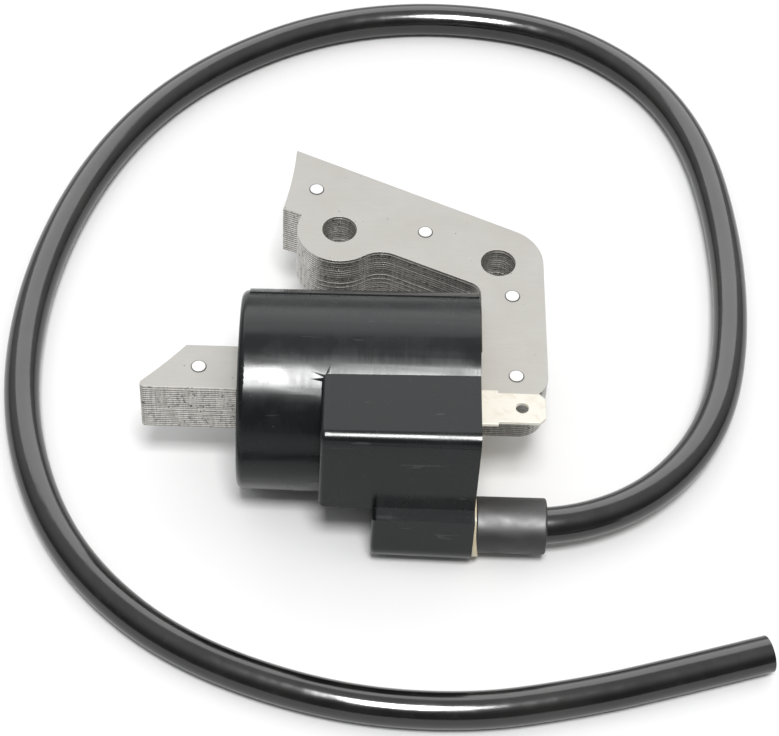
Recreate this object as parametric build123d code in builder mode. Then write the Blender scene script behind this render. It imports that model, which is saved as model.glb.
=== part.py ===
"""Flywheel ignition coil: laminated steel core, moulded case with its windings and HT lead."""

from build123d import *

import os
from math import radians, sqrt, tan

os.makedirs("parts", exist_ok=True)

# Driving dimensions in millimetres. X runs along the coil, Y away from the lead, Z up.
# The origin is on the surface the coil lies on, below the middle of coil and core.

# Case
RIM_X = 24.8
CASE_AXIS_Y = -14.9
CASE_AXIS_Z = 19.9
CASE_RIM_RADIUS = 19.4
CASE_DROP = 0.5
CASE_END_ROUND = 1.4
CASE_LENGTH = 44.7
CASE_DRAFT = 0.7
WALL = 1.6
BOX_FRONT = 24.2
BOX_TOP = 16.75
BOX_BOTTOM = -5.3
BOX_CORNER_ROUND = 2.4
BOX_END_ROUND = 1.0
BOX_LENGTH = 29.1
BOX_DRAFT = 1.0
BOSS_ACROSS = 20.7
BOSS_LEVEL = -13.4
BOSS_LEDGE = -4.1
BOSS_END_ROUND = 0.9
BOSS_RADIUS = 6.5
BOSS_LENGTH = 19.1
PASSAGE_WIDTH = 3.6
PAD_ANGLES = (124.0, 150.0)
PAD_PROUD = 0.35
PAD_LENGTH = 43.2
FILL_RECESS = 0.4

# Laminated core
SHEETS = 20
SHEET_THICKNESS = 0.6
CORE_THICKNESS = SHEETS * SHEET_THICKNESS
CORE_BOTTOM_Z = CASE_AXIS_Z - CORE_THICKNESS / 2
LEG_WIDTH = 10.3
POLE_CENTRE = (-102.2, 46.4)
POLE_RADIUS = 91.3
BOLT_HOLES = ((-1.9, 21.0), (29.4, 13.5))
BOLT_HOLE_DIAMETER = 6.8
LOBE_RADIUS = 8.4
RIVETS = ((-6.7, 31.6), (15.1, 21.0), (32.0, 5.0), (32.3, -14.9), (-27.6, -14.9))
RIVET_DIAMETER = 2.9
RIVET_PROUD = 0.12

# Windings, each as its size across and up, or its radius, about the case axis
BORE_ACROSS = LEG_WIDTH + 0.4
BORE_UP = CORE_THICKNESS + 0.4
BOBBIN_WALL = 1.0
PRIMARY_BUILD = 1.0
WRAP_BUILD = 0.35
PRIMARY_DEPTH = (3.3, 41.5)
PRIMARY_FLANGE_RADIUS = 10.6
PRIMARY_FLANGE = 1.0
SECONDARY_DEPTH = (4.3, 40.5)
SECONDARY_INNER_RADIUS = 10.8
SECONDARY_TUBE_RADIUS = 11.6
SECONDARY_WOUND_RADIUS = 14.6
SECONDARY_FLANGE_RADIUS = 15.4
SECONDARY_FLANGE = 0.8
SECTIONS = 5

# High-tension lead
LEAD_DIAMETER = 7.0
CONDUCTOR_DIAMETER = 2.0
SLEEVE_DIAMETER = 10.7
SLEEVE_SPIGOT_DIAMETER = 9.4
SLEEVE_X = (25.4, 38.8)
SLEEVE_SPIGOT_X = 20.0
SPIKE_X = (7.6, 8.6, 13.0)
SPIKE_DISC_RADIUS = 3.4
LEAD_ROUTE = (
    (10.0, -35.6, 6.5),
    (25.5, -35.66, 6.5),
    (43.5, -35.6, 6.5),
    (59.9, -27.7, 6.1),
    (72.3, -11.7, 5.2),
    (78.4, 10.0, 4.2),
    (79.9, 39.3, 3.6),
    (76.0, 69.1, 3.5),
    (65.5, 89.5, 3.5),
    (46.2, 103.6, 3.5),
    (19.0, 107.9, 3.5),
    (-7.2, 103.1, 3.5),
    (-30.0, 89.4, 3.5),
    (-46.4, 71.5, 3.5),
    (-57.8, 47.9, 3.5),
    (-64.2, 20.2, 3.5),
    (-64.2, -7.4, 3.5),
    (-57.5, -31.6, 3.5),
    (-46.0, -49.7, 3.5),
    (-28.1, -64.2, 3.5),
    (-2.0, -73.6, 3.5),
    (23.3, -75.3, 3.5),
    (45.2, -71.1, 3.5),
    (63.0, -65.9, 3.5),
    (79.6, -60.7, 3.5),
)

# Terminals
TAB_Z = 27.2
TAB_THICKNESS = 0.8
TAB_Y = -24.1
TAB_WIDTH = 6.8
TAB_ROOT_WIDTH = 8.0
TAB_SHOULDER_X = 28.6
TAB_TIP_X = 37.4
TAB_HOLE = (33.0, 2.4)
TAB_LEG_X = 21.8
TAB_LEG_WIDTH = 5.0
TAB_LEG_DROP = 9.3
TAB_CORNER = 1.1
WIRE_DIAMETER = 0.6

# Case planes: local X runs towards the lead, local Y up, local Z from the rim into the case.
RIM = Plane(origin=(RIM_X, CASE_AXIS_Y, CASE_AXIS_Z), x_dir=(0, -1, 0), z_dir=(-1, 0, 0))


def save(part, name):
    """Labels one finished piece and writes its STEP file."""
    part.label = name
    export_step(part, f"parts/{name}.step")


def corner_radius(before, corner, after):
    """Radius of the arc at a corner of the lead: 0.45 of its shorter run over tan(half turn)."""
    run_in = Vector(*corner) - Vector(*before)
    run_out = Vector(*after) - Vector(*corner)
    shorter = min(run_in.length, run_out.length)
    return 0.45 * shorter / tan(radians(run_in.get_angle(run_out) / 2))


# Core ------------------------------------------------------------------------------------


def pole_point(y):
    """Point of the flywheel circle that both pole faces are ground to, at a given Y."""
    across = sqrt(POLE_RADIUS**2 - (y - POLE_CENTRE[1]) ** 2)
    return (POLE_CENTRE[0] + across, y)


leg_front_y = CASE_AXIS_Y - LEG_WIDTH / 2
leg_back_y = CASE_AXIS_Y + LEG_WIDTH / 2
column_inner_x = 25.9
column_outer_x = 38.3
corner_right = (column_outer_x, 19.5)
corner_front = (column_outer_x, leg_front_y)
pole_top = pole_point(42.2)
pole_middle = pole_point(34.1)
pole_bottom = pole_point(26.0)
leg_tip_front = pole_point(leg_front_y)
leg_tip_middle = pole_point(CASE_AXIS_Y)
leg_tip_back = pole_point(leg_back_y)
arm_inner_start = (9.7, 14.5)
arm_inner_end = (column_inner_x, 7.3)
lobe_inside_upper = (-5.0, 23.1)
lobe_inside_lower = (0.2, 18.7)
valley = (5.3, 16.5)
valley_round = 6.0
arm_corner_round = 9.0
leg_corner_round = 5.0
window_round = 3.2
small_round = 0.8

with BuildSketch() as sheet_outline:
    with BuildLine():
        Polyline(
            leg_tip_back,
            (column_inner_x, leg_back_y),
            arm_inner_end,
            arm_inner_start,
            lobe_inside_lower,
            lobe_inside_upper,
            pole_bottom,
        )
        ThreePointArc(pole_bottom, pole_middle, pole_top)
        Polyline(pole_top, corner_right, corner_front, leg_tip_front)
        ThreePointArc(leg_tip_front, leg_tip_middle, leg_tip_back)
    make_face()
    with Locations(BOLT_HOLES[0]):
        Circle(LOBE_RADIUS)
    fillet(sheet_outline.vertices().sort_by_distance(valley)[0], valley_round)
    fillet(sheet_outline.vertices().sort_by_distance(corner_right)[0], arm_corner_round)
    fillet(sheet_outline.vertices().sort_by_distance(corner_front)[0], leg_corner_round)
    fillet(sheet_outline.vertices().sort_by_distance(arm_inner_end)[0], window_round)
    fillet(sheet_outline.vertices().sort_by_distance((column_inner_x, leg_back_y))[0], small_round)
    fillet(sheet_outline.vertices().sort_by_distance(leg_tip_front)[0], small_round)
    with Locations(*BOLT_HOLES):
        Circle(BOLT_HOLE_DIAMETER / 2, mode=Mode.SUBTRACT)
    with Locations(*RIVETS):
        Circle(RIVET_DIAMETER / 2, mode=Mode.SUBTRACT)

for number in range(SHEETS):
    sheet_z = CORE_BOTTOM_Z + number * SHEET_THICKNESS
    with BuildPart() as lamination:
        with BuildSketch(Plane.XY.offset(sheet_z)):
            add(sheet_outline.sketch)
        extrude(amount=SHEET_THICKNESS)
    save(lamination.part, f"lamination_{number + 1:02d}")

with BuildPart() as core_rivets:
    with BuildSketch(Plane.XY.offset(CORE_BOTTOM_Z - RIVET_PROUD)):
        with Locations(*RIVETS):
            Circle(RIVET_DIAMETER / 2)
    extrude(amount=CORE_THICKNESS + 2 * RIVET_PROUD)
save(core_rivets.part, "core_rivets")


# Case ------------------------------------------------------------------------------------


def box_profile(inset):
    """Box profile of the case on the rim plane, drawn in from its outside by a wall."""
    across = BOX_FRONT - inset
    up = BOX_TOP - BOX_BOTTOM - 2 * inset
    with BuildSketch(RIM) as profile:
        with Locations((across / 2, (BOX_TOP + BOX_BOTTOM) / 2)):
            Rectangle(across, up)
        front_corner = (across, BOX_TOP - inset)
        fillet(profile.vertices().sort_by_distance(front_corner)[0], BOX_CORNER_ROUND - inset / 2)
    return profile.sketch


with BuildPart() as drum:
    with BuildSketch(RIM):
        with Locations((0, -CASE_DROP)):
            Circle(CASE_RIM_RADIUS)
    extrude(amount=CASE_LENGTH, taper=CASE_DRAFT)
    fillet(drum.faces().sort_by(Axis.X)[0].edges(), CASE_END_ROUND)

with BuildPart() as module_box:
    extrude(box_profile(0), amount=BOX_LENGTH, taper=BOX_DRAFT)
    fillet(module_box.faces().sort_by(Axis.X)[0].edges(), BOX_END_ROUND)

with BuildPart() as lead_boss:
    with BuildSketch(RIM):
        with Locations((BOSS_ACROSS, BOSS_LEVEL)):
            Circle(BOSS_RADIUS)
        with Locations((BOSS_ACROSS, (BOSS_LEVEL + BOSS_LEDGE) / 2)):
            Rectangle(2 * BOSS_RADIUS, BOSS_LEDGE - BOSS_LEVEL)
    extrude(amount=BOSS_LENGTH, taper=BOX_DRAFT)
    fillet(lead_boss.faces().sort_by(Axis.X)[0].edges(), BOSS_END_ROUND)

pad_reach = 2 * CASE_RIM_RADIUS
pad_corners = [Vector(pad_reach, 0).rotate(Axis.Z, angle) for angle in PAD_ANGLES]
with BuildPart() as back_pad:
    with BuildSketch(RIM):
        with Locations((0, -CASE_DROP)):
            Circle(CASE_RIM_RADIUS + PAD_PROUD)
        Polygon((0, 0), *[(corner.X, corner.Y) for corner in pad_corners], align=None, mode=Mode.INTERSECT)
    extrude(amount=PAD_LENGTH, taper=CASE_DRAFT)

passage_floor = BOSS_LEVEL + BOSS_RADIUS - WALL - 1.4
passage_top = BOX_BOTTOM + WALL + 1.0
with BuildPart() as cavity:
    with BuildSketch(RIM):
        with Locations((0, -CASE_DROP)):
            Circle(CASE_RIM_RADIUS - WALL)
    extrude(amount=CASE_LENGTH - WALL, taper=CASE_DRAFT)
    extrude(box_profile(WALL), amount=BOX_LENGTH - WALL, taper=BOX_DRAFT)
    with BuildSketch(RIM):
        with Locations((BOSS_ACROSS, BOSS_LEVEL)):
            Circle(BOSS_RADIUS - WALL)
    extrude(amount=BOSS_LENGTH - WALL, taper=BOX_DRAFT)
    with BuildSketch(RIM):
        with Locations((BOSS_ACROSS, (passage_floor + passage_top) / 2)):
            Rectangle(PASSAGE_WIDTH, passage_top - passage_floor)
    extrude(amount=BOSS_LENGTH - WALL)

with BuildPart() as case:
    add(drum.part)
    add(module_box.part)
    add(lead_boss.part)
    add(back_pad.part)
    add(cavity.part, mode=Mode.SUBTRACT)
    with BuildSketch(RIM.offset(CASE_LENGTH - 2 * WALL)):
        Rectangle(BORE_ACROSS, BORE_UP)
    extrude(amount=3 * WALL, mode=Mode.SUBTRACT)
save(case.part, "coil_case")


# Windings --------------------------------------------------------------------------------

primary_length = PRIMARY_DEPTH[1] - PRIMARY_DEPTH[0]
primary_tube = (BORE_ACROSS + 2 * BOBBIN_WALL, BORE_UP + 2 * BOBBIN_WALL)
primary_wound = (primary_tube[0] + 2 * PRIMARY_BUILD, primary_tube[1] + 2 * PRIMARY_BUILD)
primary_wrapped = (primary_wound[0] + 2 * WRAP_BUILD, primary_wound[1] + 2 * WRAP_BUILD)
wound_corner = 2.4
winding_plane = RIM.offset(PRIMARY_DEPTH[0] + PRIMARY_FLANGE)
winding_length = primary_length - 2 * PRIMARY_FLANGE

leadout_proud = 0.3
with BuildPart() as primary_leadout:
    with BuildSketch(RIM.offset(PRIMARY_DEPTH[0] - leadout_proud)):
        with Locations((7.05, 3.0)):
            Circle(WIRE_DIAMETER / 2)
    extrude(amount=PRIMARY_FLANGE + leadout_proud)
save(primary_leadout.part, "primary_leadout_wire")

ground_level = 7.7
ground_depth = 1.8
strap_thickness = 0.3
strap_size = (2.2, 6.0)
with BuildPart() as ground_wire:
    with BuildLine():
        FilletPolyline(
            RIM.from_local_coords((0, ground_level, PRIMARY_DEPTH[0] + PRIMARY_FLANGE)),
            RIM.from_local_coords((0, ground_level, ground_depth)),
            RIM.from_local_coords((0, CORE_THICKNESS / 2 + strap_thickness, ground_depth)),
            radius=0.5,
        )
    with BuildSketch(RIM.offset(PRIMARY_DEPTH[0] + PRIMARY_FLANGE)):
        with Locations((0, ground_level)):
            Circle(WIRE_DIAMETER / 2)
    sweep()
save(ground_wire.part, "ground_wire")

with BuildPart() as ground_strap:
    with BuildSketch(Plane.XY.offset(CORE_BOTTOM_Z + CORE_THICKNESS)):
        with Locations((RIM_X - ground_depth, CASE_AXIS_Y)):
            RectangleRounded(*strap_size, 0.5)
    extrude(amount=strap_thickness)
save(ground_strap.part, "ground_strap")

with BuildPart() as primary_bobbin:
    with BuildSketch(RIM.offset(PRIMARY_DEPTH[0])):
        Rectangle(*primary_tube)
    extrude(amount=primary_length)
    for flange_depth in (PRIMARY_DEPTH[0], PRIMARY_DEPTH[1] - PRIMARY_FLANGE):
        with BuildSketch(RIM.offset(flange_depth)):
            Circle(PRIMARY_FLANGE_RADIUS)
        extrude(amount=PRIMARY_FLANGE)
    with BuildSketch(RIM.offset(PRIMARY_DEPTH[0])):
        Rectangle(BORE_ACROSS, BORE_UP)
    extrude(amount=primary_length, mode=Mode.SUBTRACT)
    add(primary_leadout.part, mode=Mode.SUBTRACT)
    add(ground_wire.part, mode=Mode.SUBTRACT)
save(primary_bobbin.part, "primary_bobbin")

with BuildPart() as primary_winding:
    with BuildSketch(winding_plane):
        RectangleRounded(*primary_wound, wound_corner)
        Rectangle(*primary_tube, mode=Mode.SUBTRACT)
    extrude(amount=winding_length)
save(primary_winding.part, "primary_winding")

with BuildPart() as insulation_wrap:
    with BuildSketch(winding_plane):
        RectangleRounded(*primary_wrapped, wound_corner + WRAP_BUILD)
        RectangleRounded(*primary_wound, wound_corner, mode=Mode.SUBTRACT)
    extrude(amount=winding_length)
save(insulation_wrap.part, "insulation_wrap")

secondary_length = SECONDARY_DEPTH[1] - SECONDARY_DEPTH[0]
section_pitch = (secondary_length - SECONDARY_FLANGE) / SECTIONS

with BuildPart() as secondary_bobbin:
    with BuildSketch(RIM.offset(SECONDARY_DEPTH[0])):
        Circle(SECONDARY_TUBE_RADIUS)
    extrude(amount=secondary_length)
    for flange in range(SECTIONS + 1):
        with BuildSketch(RIM.offset(SECONDARY_DEPTH[0] + flange * section_pitch)):
            Circle(SECONDARY_FLANGE_RADIUS)
        extrude(amount=SECONDARY_FLANGE)
    with BuildSketch(RIM.offset(SECONDARY_DEPTH[0])):
        Circle(SECONDARY_INNER_RADIUS)
    extrude(amount=secondary_length, mode=Mode.SUBTRACT)
save(secondary_bobbin.part, "secondary_bobbin")

secondary_windings = []
for section in range(SECTIONS):
    section_start = SECONDARY_DEPTH[0] + section * section_pitch + SECONDARY_FLANGE
    with BuildPart() as winding:
        with BuildSketch(RIM.offset(section_start)):
            Circle(SECONDARY_WOUND_RADIUS)
            Circle(SECONDARY_TUBE_RADIUS, mode=Mode.SUBTRACT)
        extrude(amount=section_pitch - SECONDARY_FLANGE)
    save(winding.part, f"secondary_winding_{section + 1}")
    secondary_windings.append(winding.part)


# High-tension lead -----------------------------------------------------------------------

lead_corners = list(zip(LEAD_ROUTE, LEAD_ROUTE[1:], LEAD_ROUTE[2:]))
lead_radii = [corner_radius(*corner) for corner in lead_corners]
print("lead arc radii:", [round(radius, 1) for radius in lead_radii])

with BuildLine() as lead_path:
    FilletPolyline(*LEAD_ROUTE, radius=lead_radii)
lead_curve = lead_path.wires()[0]
lead_start = Plane(origin=lead_curve @ 0, z_dir=lead_curve % 0)
print("lead length:", round(lead_curve.length, 1))

with BuildPart() as spike:
    with BuildSketch(RIM.offset(RIM_X - SPIKE_X[1])):
        with Locations((BOSS_ACROSS, BOSS_LEVEL)):
            Circle(SPIKE_DISC_RADIUS)
    extrude(amount=SPIKE_X[1] - SPIKE_X[0])
    with BuildSketch(RIM.offset(RIM_X - SPIKE_X[2])):
        with Locations((BOSS_ACROSS, BOSS_LEVEL)):
            Circle(CONDUCTOR_DIAMETER / 2 - 0.1)
    extrude(amount=SPIKE_X[2] - SPIKE_X[1])
    chamfer(spike.faces().sort_by(Axis.X)[-1].edges(), 0.6)
save(spike.part, "ht_contact_spike")

with BuildPart() as lead_insulation:
    with BuildSketch(lead_start):
        Circle(LEAD_DIAMETER / 2)
        Circle(CONDUCTOR_DIAMETER / 2, mode=Mode.SUBTRACT)
    sweep(path=lead_curve)
save(lead_insulation.part, "lead_insulation")

with BuildPart() as lead_conductor:
    with BuildSketch(lead_start):
        Circle(CONDUCTOR_DIAMETER / 2)
    sweep(path=lead_curve)
    with Locations(LEAD_ROUTE[0]):
        Box(2 * (SPIKE_X[2] - LEAD_ROUTE[0][0]), 4.0, 4.0, mode=Mode.SUBTRACT)
save(lead_conductor.part, "lead_conductor")

with BuildPart() as lead_envelope:
    with BuildSketch(lead_start):
        Circle(LEAD_DIAMETER / 2)
    sweep(path=lead_curve)

with BuildPart() as lead_sleeve:
    with BuildSketch(RIM.offset(RIM_X - SLEEVE_X[1])):
        with Locations((BOSS_ACROSS, BOSS_LEVEL)):
            Circle(SLEEVE_DIAMETER / 2)
    extrude(amount=SLEEVE_X[1] - SLEEVE_X[0])
    fillet(lead_sleeve.edges().filter_by(GeomType.CIRCLE), 0.5)
    with BuildSketch(RIM.offset(RIM_X - SLEEVE_X[0])):
        with Locations((BOSS_ACROSS, BOSS_LEVEL)):
            Circle(SLEEVE_SPIGOT_DIAMETER / 2)
    extrude(amount=SLEEVE_X[0] - SLEEVE_SPIGOT_X)
    add(lead_envelope.part, mode=Mode.SUBTRACT)
save(lead_sleeve.part, "lead_sleeve")

leadout_level = -2.4
leadout_depth = 8.2
leadout_start = (SECONDARY_WOUND_RADIUS - 0.2, leadout_level, leadout_depth)
leadout_corner = (BOSS_ACROSS - 0.3, leadout_level, leadout_depth)
leadout_end = (BOSS_ACROSS - 0.2, BOSS_LEVEL + 2.5, RIM_X - SPIKE_X[1] + 0.5)
leadout_bend = 1.5
leadout_diameter = 0.8
with BuildPart() as ht_leadout:
    with BuildLine() as leadout_path:
        FilletPolyline(
            RIM.from_local_coords(leadout_start),
            RIM.from_local_coords(leadout_corner),
            RIM.from_local_coords(leadout_end),
            radius=leadout_bend,
        )
    leadout_curve = leadout_path.wires()[0]
    with BuildSketch(Plane(origin=leadout_curve @ 0, z_dir=leadout_curve % 0)):
        Circle(leadout_diameter / 2)
    sweep(path=leadout_curve)
    add(spike.part, mode=Mode.SUBTRACT)
    add(secondary_windings[0], mode=Mode.SUBTRACT)
save(ht_leadout.part, "ht_leadout_wire")


# Primary terminal and ignition module ----------------------------------------------------

with BuildPart() as primary_tab:
    with BuildSketch(Plane.XY.offset(TAB_Z)):
        with Locations(((TAB_LEG_X + TAB_SHOULDER_X) / 2, TAB_Y)):
            Rectangle(TAB_SHOULDER_X - TAB_LEG_X, TAB_ROOT_WIDTH)
        with Locations(((TAB_LEG_X + TAB_TIP_X) / 2, TAB_Y)):
            blade = Rectangle(TAB_TIP_X - TAB_LEG_X, TAB_WIDTH)
        chamfer(blade.vertices().group_by(Axis.X)[-1], TAB_CORNER)
        with Locations((TAB_HOLE[0], TAB_Y)):
            Circle(TAB_HOLE[1] / 2, mode=Mode.SUBTRACT)
    extrude(amount=TAB_THICKNESS)
    with BuildSketch(Plane.XY.offset(TAB_Z)):
        with Locations((TAB_LEG_X + TAB_THICKNESS / 2, TAB_Y)):
            Rectangle(TAB_THICKNESS, TAB_LEG_WIDTH)
    extrude(amount=-TAB_LEG_DROP)
save(primary_tab.part, "primary_tab")

board_face = 17.0
board_thickness = 1.0
board_depth = (2.9, 26.0)
board_level = (-1.6, 14.3)
with BuildPart() as trigger_board:
    with BuildSketch(RIM.offset(board_depth[0])):
        with Locations((board_face + board_thickness / 2, sum(board_level) / 2)):
            Rectangle(board_thickness, board_level[1] - board_level[0])
    extrude(amount=board_depth[1] - board_depth[0])
save(trigger_board.part, "trigger_board")

parts_face = board_face + board_thickness
capacitor_size = (3.0, 7.4, 9.0)
transistor_size = (2.6, 4.5, 4.0)
small_part_diameter = 1.8
small_part_length = 4.0
with BuildPart() as storage_capacitor:
    with BuildSketch(RIM.offset(6.0)):
        with Locations((parts_face + capacitor_size[0] / 2, 9.8)):
            Rectangle(*capacitor_size[:2])
    extrude(amount=capacitor_size[2])
    fillet(storage_capacitor.faces().sort_by(Axis.Y)[0].edges(), 0.5)
save(storage_capacitor.part, "storage_capacitor")

with BuildPart() as switching_transistor:
    with BuildSketch(RIM.offset(5.0)):
        with Locations((parts_face + transistor_size[0] / 2, 1.4)):
            Rectangle(*transistor_size[:2])
    extrude(amount=transistor_size[2])
    chamfer(switching_transistor.faces().sort_by(Axis.Y)[0].edges().filter_by(Axis.X), 0.8)
save(switching_transistor.part, "switching_transistor")

small_parts = []
for component, level, depth in (("steering_diode", 1.5, 11.0), ("bias_resistor", 10.0, 17.5)):
    with BuildPart() as small_part:
        with BuildSketch(RIM.offset(depth)):
            with Locations((parts_face + small_part_diameter / 2, level)):
                Circle(small_part_diameter / 2)
        extrude(amount=small_part_length)
    save(small_part.part, component)
    small_parts.append(small_part.part)

wire_start_y = TAB_Y - 2.5
wire_end_y = CASE_AXIS_Y - parts_face
with BuildPart() as module_wire:
    with BuildSketch(Plane.XZ.offset(-wire_start_y)):
        with Locations((RIM_X - board_depth[0] + WIRE_DIAMETER / 2, CASE_AXIS_Z + 3.0)):
            Circle(WIRE_DIAMETER / 2)
    extrude(amount=wire_start_y - wire_end_y)
save(module_wire.part, "module_wire")


# Potting resin ---------------------------------------------------------------------------

embedded = [
    primary_leadout.part,
    ground_wire.part,
    ground_strap.part,
    primary_bobbin.part,
    primary_winding.part,
    insulation_wrap.part,
    secondary_bobbin.part,
    *secondary_windings,
    spike.part,
    lead_sleeve.part,
    lead_envelope.part,
    ht_leadout.part,
    primary_tab.part,
    trigger_board.part,
    storage_capacitor.part,
    switching_transistor.part,
    *small_parts,
    module_wire.part,
]

with BuildPart() as potting_resin:
    add(cavity.part)
    with BuildSketch(RIM):
        Rectangle(4 * CASE_RIM_RADIUS, 4 * CASE_RIM_RADIUS)
        with Locations((BOSS_ACROSS, BOSS_LEVEL)):
            Circle(BOSS_RADIUS - WALL, mode=Mode.SUBTRACT)
    extrude(amount=FILL_RECESS, mode=Mode.SUBTRACT)
    with BuildSketch(RIM.offset(RIM_X - SLEEVE_X[0])):
        with Locations((BOSS_ACROSS, BOSS_LEVEL)):
            Circle(BOSS_RADIUS - 0.4)
    extrude(amount=SLEEVE_X[0] - RIM_X)
    with BuildSketch(RIM):
        Rectangle(LEG_WIDTH, CORE_THICKNESS)
    extrude(amount=PRIMARY_DEPTH[0], mode=Mode.SUBTRACT)
    with BuildSketch(RIM.offset(PRIMARY_DEPTH[0])):
        Rectangle(BORE_ACROSS, BORE_UP)
    extrude(amount=CASE_LENGTH, mode=Mode.SUBTRACT)
    for piece in embedded:
        add(piece, mode=Mode.SUBTRACT)
save(potting_resin.part, "potting_resin")
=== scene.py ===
"""Flywheel ignition coil on a white table, with its looped high-tension lead.

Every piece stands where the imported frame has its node. Lengths are in metres.
"""

import logging
import math
import random
from contextlib import contextmanager
from dataclasses import dataclass, field
from enum import Enum
from typing import Callable, Iterator, Sequence

import bmesh
import bpy
from mathutils import Matrix, Vector


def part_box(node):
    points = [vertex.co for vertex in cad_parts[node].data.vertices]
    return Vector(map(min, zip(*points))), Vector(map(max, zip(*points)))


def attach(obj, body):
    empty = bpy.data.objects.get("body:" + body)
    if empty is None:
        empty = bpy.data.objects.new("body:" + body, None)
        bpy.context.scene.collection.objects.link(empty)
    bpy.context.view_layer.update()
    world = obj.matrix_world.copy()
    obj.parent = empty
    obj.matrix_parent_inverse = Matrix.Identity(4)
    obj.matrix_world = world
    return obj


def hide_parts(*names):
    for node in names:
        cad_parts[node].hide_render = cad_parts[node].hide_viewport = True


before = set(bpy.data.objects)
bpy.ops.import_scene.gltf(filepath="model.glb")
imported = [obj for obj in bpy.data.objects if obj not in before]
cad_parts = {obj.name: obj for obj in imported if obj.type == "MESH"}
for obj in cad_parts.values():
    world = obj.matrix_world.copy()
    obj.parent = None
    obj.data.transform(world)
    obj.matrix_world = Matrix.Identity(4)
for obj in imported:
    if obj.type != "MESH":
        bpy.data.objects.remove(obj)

LOG = logging.getLogger("ignition_coil")
MM = 0.001
BODY = "root"
Colour = tuple[float, float, float, float]


def grey(level: float, warmth: float = 0.0) -> Colour:
    """Returns a grey of that linear level, warmer than neutral by a share of it."""
    return (level * (1 + warmth), level, level * (1 - 1.6 * warmth), 1.0)


# Working in mesh edit mode ---------------------------------------------------------------


class Pick(Enum):
    """What an edit-mode selection is made of."""

    FACES = "FACE"
    EDGES = "EDGE"
    VERTICES = "VERT"


def deselect_all() -> None:
    """Leaves no object selected."""
    for piece in bpy.context.selected_objects:
        piece.select_set(False)


def activate(piece: bpy.types.Object) -> None:
    """Makes one object the only selected and the active one."""
    deselect_all()
    piece.select_set(True)
    bpy.context.view_layer.objects.active = piece


@contextmanager
def editing(piece: bpy.types.Object, pick: Pick = Pick.FACES) -> Iterator[bmesh.types.BMesh]:
    """Opens a piece in edit mode with nothing selected.

    Args:
        piece: The mesh object to edit.
        pick: The kind of element that selections are made of.

    Returns:
        An iterator over the one edit-mode mesh, for selecting its elements.
    """
    activate(piece)
    bpy.ops.object.mode_set(mode="EDIT")
    bpy.ops.mesh.select_mode(type=pick.value)
    bpy.ops.mesh.select_all(action="DESELECT")
    try:
        yield bmesh.from_edit_mesh(piece.data)
    finally:
        bpy.ops.object.mode_set(mode="OBJECT")


def select(
    piece: bpy.types.Object,
    mesh: bmesh.types.BMesh,
    wanted: Callable[[object], bool],
    pick: Pick = Pick.FACES,
) -> None:
    """Selects just the elements of an edit-mode mesh that a test picks.

    Args:
        piece: The object in edit mode.
        mesh: Its edit-mode mesh.
        wanted: Says of a face, edge or vertex whether it is selected.
        pick: Which of the three the test is given.
    """
    bpy.ops.mesh.select_all(action="DESELECT")
    elements = {Pick.FACES: mesh.faces, Pick.EDGES: mesh.edges, Pick.VERTICES: mesh.verts}[pick]
    for element in elements:
        if wanted(element):
            element.select_set(True)
    bmesh.update_edit_mesh(piece.data)


def settle(piece: bpy.types.Object) -> None:
    """Moves an object's place into its mesh, so that it sits at the origin unturned."""
    activate(piece)
    bpy.ops.object.transform_apply(location=True, rotation=True, scale=True)


def apply_modifiers(piece: bpy.types.Object) -> None:
    """Applies every modifier on a piece, first to last."""
    activate(piece)
    for modifier in list(piece.modifiers):
        bpy.ops.object.modifier_apply(modifier=modifier.name)


def soften_edges(
    piece: bpy.types.Object, width: float, angle: float = 32.0, steps: int = 2
) -> None:
    """Rounds a piece's sharp edges with a bevel and applies it.

    Args:
        piece: The mesh object.
        width: How far the bevel reaches from each edge, in metres.
        angle: The least turn, in degrees, that counts as an edge.
        steps: Segments across the bevel.
    """
    bevel = piece.modifiers.new("Rounded edges", "BEVEL")
    bevel.width = width
    bevel.segments = steps
    bevel.limit_method = "ANGLE"
    bevel.angle_limit = math.radians(angle)
    bevel.miter_outer = "MITER_ARC"
    bevel.use_clamp_overlap = True
    apply_modifiers(piece)


def smooth(piece: bpy.types.Object, angle: float = 35.0) -> None:
    """Shades a piece smooth, apart from edges sharper than an angle in degrees.

    Args:
        piece: The mesh object.
        angle: The least turn that stays a sharp edge.
    """
    activate(piece)
    bpy.ops.object.shade_smooth_by_angle(angle=math.radians(angle))
    weighted = piece.modifiers.new("Flat faces first", "WEIGHTED_NORMAL")
    weighted.weight = 100
    weighted.keep_sharp = True
    apply_modifiers(piece)


def merged_copy(node: str, name: str) -> bpy.types.Object:
    """Copies a frame node's mesh as one clean skin of flat faces.

    Args:
        node: The frame node that is copied.
        name: The new piece's name.

    Returns:
        The new object, its doubles merged and its flat faces joined.
    """
    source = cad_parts[node]
    piece = bpy.data.objects.new(name, source.data.copy())
    piece.data.materials.clear()
    bpy.context.scene.collection.objects.link(piece)
    with editing(piece, Pick.VERTICES):
        bpy.ops.mesh.select_all(action="SELECT")
        bpy.ops.mesh.remove_doubles(threshold=0.002 * MM)
        bpy.ops.mesh.dissolve_limited(angle_limit=math.radians(0.6))
    return piece


def copied(piece: bpy.types.Object, name: str, move: Vector) -> bpy.types.Object:
    """Returns a copy of a piece with its own mesh, moved by a vector."""
    twin = bpy.data.objects.new(name, piece.data.copy())
    twin.data.transform(Matrix.Translation(move))
    bpy.context.scene.collection.objects.link(twin)
    return twin


def joined(pieces: Sequence[bpy.types.Object], name: str) -> bpy.types.Object:
    """Joins pieces into the first of them and gives it a name."""
    activate(pieces[0])
    for piece in pieces:
        piece.select_set(True)
    bpy.ops.object.join()
    pieces[0].name = name
    return pieces[0]


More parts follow.
